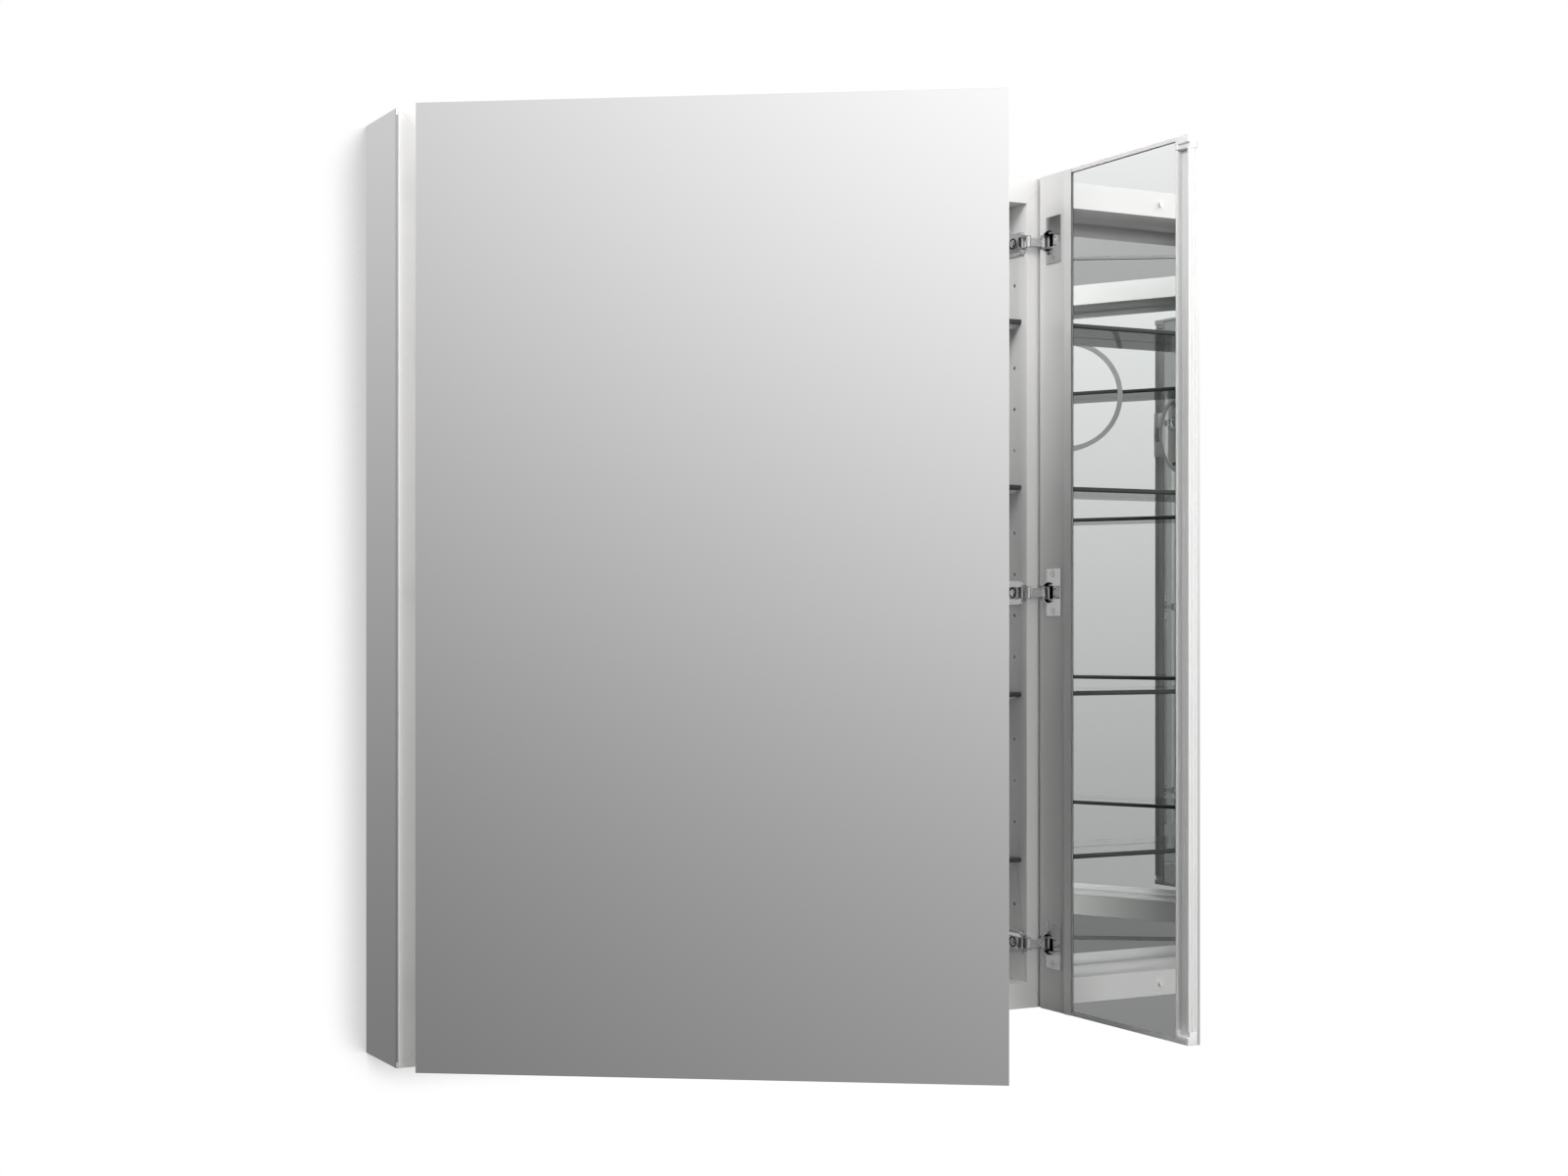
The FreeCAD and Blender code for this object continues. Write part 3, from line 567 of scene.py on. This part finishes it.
def hinge_cups(side):
    """The round cups in a door, with their screw wings, the spring housings inside them and their lips."""
    _, flat, _ = door_place(side)
    body = side + "_door"
    wings, wing_holes = bmesh.new(), bmesh.new()
    cups, notches = bmesh.new(), bmesh.new()
    gap = math.degrees(math.acos((WING[0] - CUP_CENTRE_E) / CUP_INNER))
    bay = math.degrees(math.asin(BAY_HALF / CUP_INNER))
    for level in HINGE_LEVELS:
        centre = (CUP_CENTRE_E, level)
        arc = circle(centre, CUP_INNER, ARC_STEPS, gap, bay - gap)
        arc += [(BAY_END, level + BAY_HALF), (BAY_END, level - BAY_HALF)]
        arc += circle(centre, CUP_INNER, ARC_STEPS, -bay, bay - gap)
        prism(wings, oblong_at(WING, level, WING_HALF) + arc, -WING_THICK, 0.0, flat)
        for end in (-1, 1):
            hole = circle((CUP_SCREW_E, level + end * CUP_SCREW_HALF), CUP_SCREW_HOLE, 24)
            prism(wing_holes, hole, *SCREW_HOLE_DEPTH, flat)
        hoop(cups, centre, CUP_INNER, CUP_RADIUS, *CUP_DEPTH, flat)
        prism(cups, circle(centre, CUP_INNER + FLOOR_OVERLAP), *CUP_FLOOR, flat)
        add_cuts(notches, SHELL_CUTS, level, flat)
    ease(wings, 0.3, 2)
    wings = without(finished("wings", wings), finished("wing_holes", wing_holes))
    new_piece(side + "_cup_wings", wings, body, [CHROME], [side + "_door_hinge_cups"])
    cups = without(finished("cups", cups), finished("notches", notches))
    # The cup shells are near black: painted shade inside the cups.
    new_piece(side + "_cup_shells", cups, body, [CUP_PAINTED_SHADE_STEEL])

    housings, dark = bmesh.new(), bmesh.new()
    for level in HINGE_LEVELS:
        prism(housings, oblong_at(HOUSING, level, HOUSING_HALF), *HOUSING_DEPTH, flat)
        for end in (-1, 1):
            cheek = oblong_at(CHEEK, level + end * CHEEK_Z, CHEEK_HALF)
            prism(housings, cheek, *CHEEK_DEPTH, flat)
            # Each slot is a thin black plate on the housing: painted shade for the opening.
            prism(dark, oblong_at(SLOT, level + end * SLOT_Z, SLOT_HALF), *SLOT_DEPTH, flat)
            prism(dark, circle((BUFFER_E, level + end * BUFFER_Z), BUFFER_RADIUS, 20), *BUFFER_DEPTH, flat)
    ease(housings, 0.4, 3)
    new_piece(side + "_spring_housings", finished("housings", housings), body, [CHROME])
    ease(dark, 0.2, 1)
    new_piece(side + "_cup_buffers_and_shade_slots", finished("buffers", dark), body, [BLACK_PLASTIC_AND_SLOT_SHADE])

    lips, notches = bmesh.new(), bmesh.new()
    for level in HINGE_LEVELS:
        hoop(lips, (CUP_CENTRE_E, level), LIP_INNER, LIP_OUTER, *LIP_DEPTH, flat)
        add_cuts(notches, LIP_CUTS, level, flat)
    lips = without(finished("lips", lips), finished("lip_notches", notches))
    new_piece(side + "_cup_lips", lips, body, [CHROME])


# ---------------------------------------------------------------- hinge stiles, in a door's millimetres
STILE_FLAT = 45.2
STILE_DEPTH = 13.0
RIB_RISE = 0.3
RIB_END = 56.2
RIB_PROUD = 1.8
RIB_FALL = 1.4
LIP_BACK = 1.3
TRAY_START = 52.0
# The near-black strip along the edge of the rib, in (e, d): a painted shadow line.
PAINTED_SHADOW_LINE = ((RIB_END - 0.1, RIB_END + 0.5), (-0.1, 0.5))
PAINTED_SHADOW_LINE_SHORT = 1
POCKET_RADIUS = CUP_RADIUS + 0.1
POCKET_DEPTH = (-3.0, 12.2)


def hinge_stile(side):
    """The wide stile with its raised rib, a near-black strip along the rib that paints the shadow line there, and
    a round pocket for each cup.
    """
    node = side + "_door_hinge_stile"
    low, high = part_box(node)
    lay, flat, _ = door_place(side)
    profile = [(0, 0), (STILE_FLAT, 0), (STILE_FLAT + RIB_RISE, -RIB_PROUD), (RIB_END, -RIB_PROUD + RIB_FALL)]
    profile += [(RIB_END, LIP_BACK), (TRAY_START, LIP_BACK), (TRAY_START, STILE_DEPTH), (0, STILE_DEPTH)]
    bar = bmesh.new()
    prism(bar, profile, low.z / MM, high.z / MM, lay)
    ease(bar, 0.4, 3)
    shadow_strip = bmesh.new()
    prism(shadow_strip, oblong(*PAINTED_SHADOW_LINE), low.z / MM + PAINTED_SHADOW_LINE_SHORT, high.z / MM - PAINTED_SHADOW_LINE_SHORT, lay)
    new_piece(side + "_rib_painted_shadow_line", finished("rib_painted_shadow_line", shadow_strip), side + "_door", [DARK_ARRIS_AND_PAINTED_SHADOW])
    pockets = bmesh.new()
    for level in HINGE_LEVELS:
        prism(pockets, circle((CUP_CENTRE_E, level), POCKET_RADIUS, 40), *POCKET_DEPTH, flat)
        add_cuts(pockets, STILE_CUTS, level, flat)
    section = without(finished("bar", bar), finished("pockets", pockets))
    edge = lay(0, 0, 0)
    along = (lay(1, 0, 0) - edge).normalized()
    # Faces on the rib take the lighter copy of the aluminium, which paints the extra light on the rib.
    for face in section.polygons:
        on_rib = (face.center - edge).dot(along) > STILE_FLAT * MM
        face.material_index = 1 if on_rib else 0
    new_piece(node + "_section", section, side + "_door", [ALUMINIUM, RIB_ALUMINIUM_PAINTED_LIGHT], [node])


# ---------------------------------------------------------------- fittings on the hinge arms
# In millimetres: n forwards from the front of the case, s inwards from the side wall and z from the level
# of the hinge. The cover's fold is (n, s) and the wedge's outline is (n, z).
COVER_FOLD = (
    (-40.0, 1.45), (-3.4, 1.45), (-3.2, 3.6), (-3.9, 4.7), (-5.0, 5.0),
    (-6.1, 4.7), (-6.9, 3.6), (-7.6, 2.5), (-8.6, 2.3), (-40.0, 2.3),
)
COVER_HALF = 13.6
CAM_N = -14.0
CAM_RADII = (4.8, 6.7)
CAM_DEPTH = (9.8, 10.35)
WEDGE = ((-3.5, 7.75), (0.2, 7.75), (0.2, 9.0), (-3.5, 11.6))
WEDGE_DEPTH = (1.0, 7.5)


def hinge_arm_fittings(side):
    """What surrounds each hinge arm: a cover with a folded front, a cam ring and two cheek wedges."""
    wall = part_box("hinge_plates")[1].x
    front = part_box("case_top")[0].y
    hand = -1 if side == "left" else 1

    def across(n, z, s):
        return Vector((hand * (wall - s * MM), front - n * MM, z * MM))

    def upright(n, s, z):
        return across(n, z, s)

    covers, cams, wedges = bmesh.new(), bmesh.new(), bmesh.new()
    for level in HINGE_LEVELS:
        prism(covers, COVER_FOLD, level - COVER_HALF, level + COVER_HALF, upright)
        hoop(cams, (CAM_N, level), *CAM_RADII, *CAM_DEPTH, across)
        for end in (-1, 1):
            prism(wedges, [(n, level + end * z) for n, z in WEDGE], *WEDGE_DEPTH, across)
    ease(covers, 0.25, 2)
    new_piece(side + "_hinge_covers", finished("hinge_covers", covers), "cabinet", [CHROME])
    new_piece(side + "_hinge_cams", finished("hinge_cams", cams), "cabinet", [BLACK_PLASTIC_AND_SLOT_SHADE])
    ease(wedges, 0.4, 2)
    new_piece(side + "_hinge_wedges", finished("hinge_wedges", wedges), "cabinet", [CHROME])


# ---------------------------------------------------------------- the pieces, with arrises in millimetres
for side in ("left", "right"):
    hinge_arm_fittings(side)
    hinge_cups(side)
    hinge_stile(side)
    _, _, door_forward = door_place(side)
    door = side + "_door_"
    glass_node(door + "front_mirror", door_forward, 0, EDGE)
    glass_node(door + "inner_mirror", -door_forward, 0.7, DARK_ARRIS_AND_PAINTED_SHADOW)
    eased_node(door + "free_stile", 0.25)
    eased_node(door + "corner_caps", 0.8, 3)
    eased_node(door + "top_rail", 0.3)
    eased_node(door + "bottom_rail", 0.3)
    glass_node(side + "_side_mirror", (-1 if side == "left" else 1, 0, 0), 0.9, DARK_ARRIS_AND_PAINTED_SHADOW)
for node, width in (
    ("case_left_side", 0.35),
    ("case_right_side", 0.35),
    ("case_top", 0.35),
    ("case_bottom", 0.35),
    ("hinge_arms", 0.2),
    ("hinge_plates", 0.2),
    ("magnifier_ring", 0.5),
    ("magnifier_clip", 0.5),
    ("hanging_rail", 0.3),
    ("wall_rail", 0.3),
    ("back_stiffener", 0.3),
):
    eased_node(node, width)


# ---------------------------------------------------------------- rows of fixings
def row_tree(name, finish):
    """A row of domed heads along a line, as a node tree with its sizes as inputs."""
    tree = bpy.data.node_groups.new(name, "GeometryNodeTree")
    sockets = {}
    for label, kind in (
        ("Count", "NodeSocketInt"),
        ("Start", "NodeSocketVector"),
        ("Step", "NodeSocketVector"),
        ("Radius", "NodeSocketFloat"),
        ("Squash", "NodeSocketFloat"),
    ):
        sockets[label] = tree.interface.new_socket(label, in_out="INPUT", socket_type=kind).identifier
    tree.interface.new_socket("Geometry", in_out="OUTPUT", socket_type="NodeSocketGeometry")
    sizes = add_node(tree, "NodeGroupInput").outputs
    places = {"Count": sizes["Count"], "Start Location": sizes["Start"], "Offset": sizes["Step"]}
    line = add_node(tree, "GeometryNodeMeshLine", places, mode="OFFSET")
    ball = {"Segments": 20, "Rings": 8, "Radius": sizes["Radius"]}
    head = add_node(tree, "GeometryNodeMeshUVSphere", ball)
    scale = add_node(tree, "ShaderNodeCombineXYZ", {"X": 1.0, "Y": sizes["Squash"], "Z": 1.0})
    squashed = {"Geometry": head.outputs["Mesh"], "Scale": scale.outputs[0]}
    shaped = add_node(tree, "GeometryNodeTransform", squashed)
    heads = {"Points": line.outputs["Mesh"], "Instance": shaped.outputs["Geometry"]}
    row = add_node(tree, "GeometryNodeInstanceOnPoints", heads)
    real = add_node(tree, "GeometryNodeRealizeInstances", {"Geometry": row.outputs["Instances"]})
    coated = {"Geometry": real.outputs["Geometry"], "Material": finish}
    coat = add_node(tree, "GeometryNodeSetMaterial", coated)
    add_node(tree, "NodeGroupOutput", {"Geometry": coat.outputs["Geometry"]})
    return tree, sockets


def row_of_heads(name, body, finish, **sizes):
    """Makes a row of heads as one plain mesh and shows it. The sizes are the inputs of the node tree."""
    tree, sockets = row_tree(name, finish)
    holder = bpy.data.objects.new(name + "_maker", bpy.data.meshes.new(name + "_maker"))
    bpy.context.scene.collection.objects.link(holder)
    maker = holder.modifiers.new("row", "NODES")
    maker.node_group = tree
    for label, value in sizes.items():
        maker[sockets[label]] = value
    view = bpy.context.evaluated_depsgraph_get()
    mesh = bpy.data.meshes.new_from_object(holder.evaluated_get(view))
    bpy.data.objects.remove(holder)
    for face in mesh.polygons:
        face.use_smooth = True
    new_piece(name, mesh, body, [finish])


# Rivets along the hanging rail, in metres.
RIVET_STEP = 0.08
RIVET_CLEAR_ENDS = 0.04
RIVET_BELOW_TOP = 0.011
RIVET_FACE = -0.0063
rail_low, rail_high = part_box("hanging_rail")
rivet_count = int((rail_high.x - rail_low.x - RIVET_CLEAR_ENDS) / RIVET_STEP) + 1
rivet_start = -(rivet_count - 1) * RIVET_STEP / 2
row_of_heads(
    "hanging_rail_rivets",
    "cabinet",
    ZINC,
    Count=rivet_count,
    Start=(rivet_start, RIVET_FACE, rail_high.z - RIVET_BELOW_TOP),
    Step=(RIVET_STEP, 0, 0),
    Radius=0.0032,
    Squash=0.45,
)


# ---------------------------------------------------------------- room, light and camera
SHADE_REACH = 0.075
SHADE_SAMPLES = 16
SHADE_SPAN = (0.42, 0.74)
SHADE_TONES = (0.575, 1.0)


def stage_plane(name, corners, lean):
    """A white surface, seen from its front only, that glows and carries a painted shadow: the glow dims softly
    close to the object. The mirrors and the metal don't pick it up.
    lean tips the painted shadow towards where the light comes from."""
    mesh = bpy.data.meshes.new(name)
    mesh.from_pydata(corners, [], [range(len(corners))])
    piece = bpy.data.objects.new(name, mesh)
    bpy.context.scene.collection.objects.link(piece)
    material = bpy.data.materials.new(name)
    material.use_nodes = True
    tree = material.node_tree
    tree.nodes.clear()
    leaning = add_node(tree, "ShaderNodeCombineXYZ", dict(zip("XYZ", Vector(lean).normalized())))
    reach = {"Distance": SHADE_REACH, "Normal": leaning.outputs[0]}
    near = add_node(tree, "ShaderNodeAmbientOcclusion", reach, samples=SHADE_SAMPLES)
    # The glow dims where the object is near: this is the painted shadow.
    tone = add_node(tree, "ShaderNodeMapRange", spread(near.outputs["AO"], SHADE_SPAN, SHADE_TONES))
    glow = add_node(tree, "ShaderNodeEmission", {"Strength": tone.outputs[0]})
    see_through = add_node(tree, "ShaderNodeBsdfTransparent")
    side = add_node(tree, "ShaderNodeNewGeometry")
    choice = {0: side.outputs["Backfacing"], 1: glow.outputs[0], 2: see_through.outputs[0]}
    mix = add_node(tree, "ShaderNodeMixShader", choice)
    add_node(tree, "ShaderNodeOutputMaterial", {"Surface": mix.outputs[0]})
    mesh.materials.append(material)
    piece.visible_glossy = False
    piece.visible_diffuse = False
    piece.visible_shadow = False


FLOOR_HEIGHT = -1.35
WALL_GAP = 0.0005
ROOM = 6.0
wall_foot = [(-ROOM, WALL_GAP, FLOOR_HEIGHT), (ROOM, WALL_GAP, FLOOR_HEIGHT)]
wall_head = [(ROOM, WALL_GAP, ROOM), (-ROOM, WALL_GAP, ROOM)]
stage_plane("wall", wall_foot + wall_head, (0.3, -1.0, 0.4))
floor_front = [(-ROOM, -ROOM, FLOOR_HEIGHT), (ROOM, -ROOM, FLOOR_HEIGHT)]
floor_back = [(ROOM, ROOM, FLOOR_HEIGHT), (-ROOM, ROOM, FLOOR_HEIGHT)]
stage_plane("floor", floor_front + floor_back, (0.0, 0.0, 1.0))


def soft_light(name, place, target, size, watts):
    """A large soft box that lights the object but isn't seen in its mirrors."""
    data = bpy.data.lights.new(name, "AREA")
    data.shape = "RECTANGLE"
    data.size, data.size_y = size
    data.energy = watts
    lamp = bpy.data.objects.new(name, data)
    lamp.location = place
    lamp.rotation_euler = (Vector(target) - Vector(place)).to_track_quat("-Z", "Y").to_euler()
    lamp.visible_glossy = False
    lamp.visible_camera = False
    bpy.context.scene.collection.objects.link(lamp)


# Each light: its name, where it stands, what it is aimed at, its size in metres and its watts.
for light in (
    ("front_light", (0.5, -2.6, 0.4), (0, -0.1, 0), (1.6, 1.6), 50.0),
    ("left_high_light", (-1.1, -0.8, 1.3), (0.3, -0.2, 0.2), (0.6, 0.6), 20.0),
    ("left_light", (-1.7, -1.2, 1.0), (0.2, -0.1, 0.2), (1.0, 1.0), 7.2),
    ("left_low_light", (-1.7, -0.9, 0.1), (0.3, -0.1, 0.0), (1.0, 1.0), 6.0),
    ("top_light", (0.3, -0.75, 1.15), (0, -0.1, 0.2), (1.4, 0.4), 2.7),
    ("back_light", (0.0, 2.6, 0.5), (0, 0, 0), (2.0, 2.0), 45.0),
):
    soft_light(*light)


# The tone of the surroundings, from straight down at -1 to straight up at 1, and how faintly blue it is.
HEIGHT_TONES = (
    (-1.0, 0.09), (-0.5, 0.12), (-0.22, 0.165), (0.0, 0.275), (0.25, 0.58), (0.5, 0.86), (1.0, 0.95),
)
BLUE_SHARE = 1.005
# The share of that tone which lights dull surfaces. Mirrors and gloss get all of it.
DIFFUSE_SHARE = 0.08
# Glows: a direction, how squarely it is faced where the glow begins and where it is full, and its tones.
FRONT_GLOW = ((0.45, -0.89, 0.0), (0.2, 1.0), (0.926, 2.37))
OTHER_GLOWS = (
    ((0, 1, 0), (0.3, 0.9), (1.0, 1.22)),
    ((-0.85, 0.5, 0), (0.8, 0.96), (1.0, 1.3)),
    ((-0.62, 0.68, 0.4), (0.94, 0.99), (1.0, 1.28)),
)


def world_light():
    """Studio surroundings: pale above and greyer below, with a broad glow in front, and weaker ones behind
    and to the left. Seen directly, they are plain white."""
    world = bpy.data.worlds.new("studio")
    bpy.context.scene.world = world
    world.use_nodes = True
    tree = world.node_tree
    tree.nodes.clear()
    direction = add_node(tree, "ShaderNodeTexCoord").outputs["Generated"]
    upwards = add_node(tree, "ShaderNodeSeparateXYZ", {0: direction}).outputs["Z"]
    height = add_node(tree, "ShaderNodeMapRange", spread(upwards, (-1.0, 1.0), (0.0, 1.0)))
    ramp = add_node(tree, "ShaderNodeValToRGB", {0: height.outputs[0]})
    ramp.color_ramp.interpolation = "B_SPLINE"
    stops = ramp.color_ramp.elements
    first_stops = len(stops)
    for number, (z, tone) in enumerate(HEIGHT_TONES):
        position = (z + 1) / 2
        if number < first_stops:
            stop = stops[number]
            stop.position = position
        else:
            stop = stops.new(position)
        stop.color = (tone, tone, tone * BLUE_SHARE, 1)

    def glow_towards(axis, span, tones):
        """A brightness that rises smoothly towards a direction."""
        ways = {0: direction, 1: Vector(axis).normalized()}
        toward = add_node(tree, "ShaderNodeVectorMath", ways, operation="DOT_PRODUCT")
        rise = spread(toward.outputs["Value"], span, tones)
        return add_node(tree, "ShaderNodeMapRange", rise, interpolation_type="SMOOTHSTEP").outputs[0]

    glow = glow_towards(*FRONT_GLOW)
    for other in OTHER_GLOWS:
        both = {0: glow, 1: glow_towards(*other)}
        glow = add_node(tree, "ShaderNodeMath", both, operation="MULTIPLY").outputs[0]
    brightened = {0: ramp.outputs[0], "Scale": glow}
    scaled = add_node(tree, "ShaderNodeVectorMath", brightened, operation="SCALE")
    ray = add_node(tree, "ShaderNodeLightPath").outputs
    dimming = spread(ray["Is Diffuse Ray"], (0.0, 1.0), (1.0, DIFFUSE_SHARE))
    share = add_node(tree, "ShaderNodeMapRange", dimming)
    lit = add_node(tree, "ShaderNodeBackground", {"Color": scaled.outputs[0], "Strength": share.outputs[0]})
    plain = add_node(tree, "ShaderNodeBackground", {"Color": (1, 1, 1, 1)})
    choice = {0: ray["Is Camera Ray"], 1: lit.outputs[0], 2: plain.outputs[0]}
    mix = add_node(tree, "ShaderNodeMixShader", choice)
    add_node(tree, "ShaderNodeOutputWorld", {"Surface": mix.outputs[0]})


world_light()

camera_data = bpy.data.cameras.new("camera")
camera = bpy.data.objects.new("camera", camera_data)
bpy.context.scene.collection.objects.link(camera)
camera_data.sensor_width = 36.0
camera_data.lens = 47.15
camera_data.shift_x = 0.199
camera_data.shift_y = 0.022
camera_data.clip_start = 0.05
camera_data.clip_end = 50.0
camera.location = (-1.2448, -2.1015, -0.0364)
camera.rotation_euler = (math.radians(90), 0, -math.radians(24.1))
bpy.context.scene.camera = camera
scene = bpy.context.scene
scene.view_settings.view_transform = "Standard"
scene.view_settings.look = "None"
scene.cycles.max_bounces = 24
scene.cycles.glossy_bounces = 16
